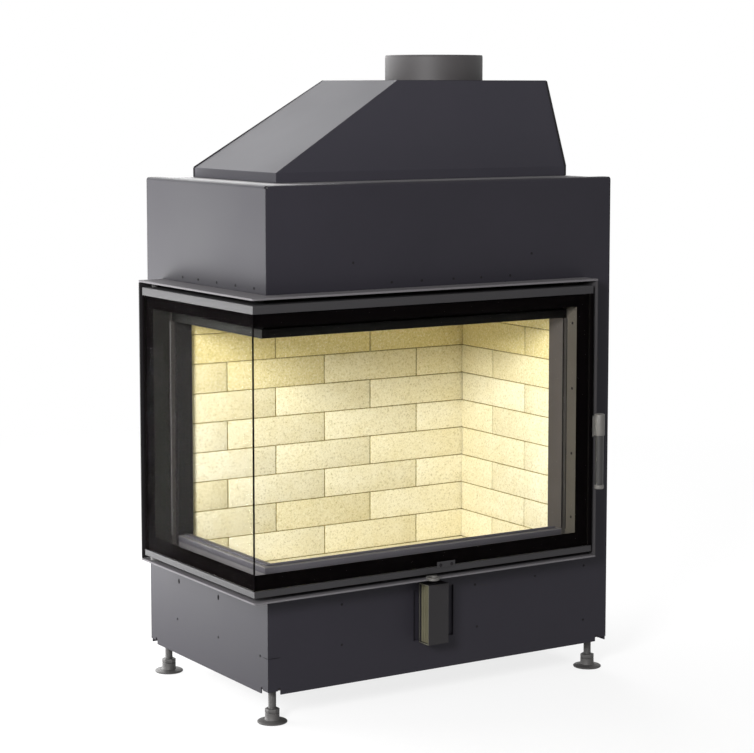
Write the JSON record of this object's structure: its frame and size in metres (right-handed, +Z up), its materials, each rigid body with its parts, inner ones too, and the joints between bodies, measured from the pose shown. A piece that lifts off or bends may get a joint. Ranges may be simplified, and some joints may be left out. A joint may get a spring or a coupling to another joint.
{
  "type": "corner fireplace",
  "caption": "Steel corner fireplace with an L-shaped glass door hinged at the rear, brick-lined firebox, pyramid hood with round flue collar, sliding air controls and levelling feet",
  "frame": {"origin": "on the floor, under the middle of the object's outline seen from above", "axes": "+X to the right along the front, +Y to the back, +Z up"},
  "size_m": [0.8242, 0.545, 1.2139],
  "materials": {
    "casing_paint": "matt grey heat-resistant paint on folded sheet",
    "satin_steel": "satin steel, lightly worn at the edges",
    "dark_steel": "black heat-resistant paint",
    "zinc_steel": "zinc-plated steel",
    "firebrick": "dry cream firebrick",
    "door_glass": "clear ceramic glass",
    "gasket_rope": "woven glass-fibre rope"
  },
  "bodies": {
    "casing": {"front_panel": "casing_paint", "left_panel": "casing_paint", "right_panel": "casing_paint", "rear_panel": "casing_paint", "top_plate": "casing_paint", "hood": "casing_paint", "lower_shelf": "satin_steel", "upper_shelf": "satin_steel", "right_lip": "satin_steel", "rear_lip": "satin_steel", "flue_collar": "satin_steel", "base_plate": "dark_steel", "lintel": "dark_steel", "sill": "dark_steel", "right_post": "dark_steel", "rear_post": "dark_steel", "log_guard": "dark_steel", "firebox_floor": "dark_steel", "firebox_back": "dark_steel", "firebox_side": "dark_steel", "smoke_throat": "dark_steel", "support_left": "dark_steel", "support_right": "dark_steel", "baffle_rail": "dark_steel", "air_box": "dark_steel", "air_spigot": "zinc_steel", "hinge_washer": "zinc_steel", "latch_striker": "zinc_steel", "shutter_guide_top": "zinc_steel", "shutter_guide_bottom": "zinc_steel", "bricks_back": "firebrick", "bricks_right": "firebrick", "hearth_slab_1": "firebrick", "hearth_slab_2": "firebrick", "hearth_slab_3": "firebrick", "baffle_left": "firebrick", "baffle_right": "firebrick"},
    "door": {"door_top_rail": "casing_paint", "door_bottom_rail": "casing_paint", "hinge_stile": "casing_paint", "latch_stile": "casing_paint", "front_glass": "door_glass", "side_glass": "door_glass", "corner_bead": "dark_steel", "door_gasket": "gasket_rope", "glass_clip": "casing_paint", "hinge_pin_top": "zinc_steel", "hinge_pin_bottom": "zinc_steel", "latch_pivot": "zinc_steel"},
    "latch": {"latch_plate": "satin_steel", "handle_collar": "satin_steel", "handle_grip": "dark_steel"},
    "primary_air": {"air_shutter": "zinc_steel", "air_grip": "satin_steel", "air_grip_core": "dark_steel"},
    "secondary_air": {"air_tongue": "satin_steel"},
    "foot_front_left_screw": {"foot_front_left": "zinc_steel"},
    "foot_front_right_screw": {"foot_front_right": "zinc_steel"},
    "foot_rear_left_screw": {"foot_rear_left": "zinc_steel"},
    "foot_rear_right_screw": {"foot_rear_right": "zinc_steel"}
  },
  "joints": [
    {"name": "door_hinge", "type": "hinge", "parent": "casing", "child": "door", "pos_m": [-0.3914, 0.1802, 0.507], "axis": [0, 0, 1], "range_deg": [-100, 0]},
    {"name": "latch_turn", "type": "hinge", "parent": "door", "child": "latch", "pos_m": [0.3411, -0.2255, 0.497], "axis": [1, 0, 0], "range_deg": [-20, 0]},
    {"name": "primary_air_slide", "type": "slide", "parent": "casing", "child": "primary_air", "axis": [1, 0, 0], "range_m": [-0.024, 0.044]},
    {"name": "secondary_air_slide", "type": "slide", "parent": "casing", "child": "secondary_air", "axis": [1, 0, 0], "range_m": [-0.03, 0.03]},
    {"name": "foot_front_left_height", "type": "slide", "parent": "casing", "child": "foot_front_left_screw", "axis": [0, 0, 1], "range_m": [-0.012, 0.025]},
    {"name": "foot_front_right_height", "type": "slide", "parent": "casing", "child": "foot_front_right_screw", "axis": [0, 0, 1], "range_m": [-0.012, 0.025]},
    {"name": "foot_rear_left_height", "type": "slide", "parent": "casing", "child": "foot_rear_left_screw", "axis": [0, 0, 1], "range_m": [-0.012, 0.025]},
    {"name": "foot_rear_right_height", "type": "slide", "parent": "casing", "child": "foot_rear_right_screw", "axis": [0, 0, 1], "range_m": [-0.012, 0.025]}
  ]
}
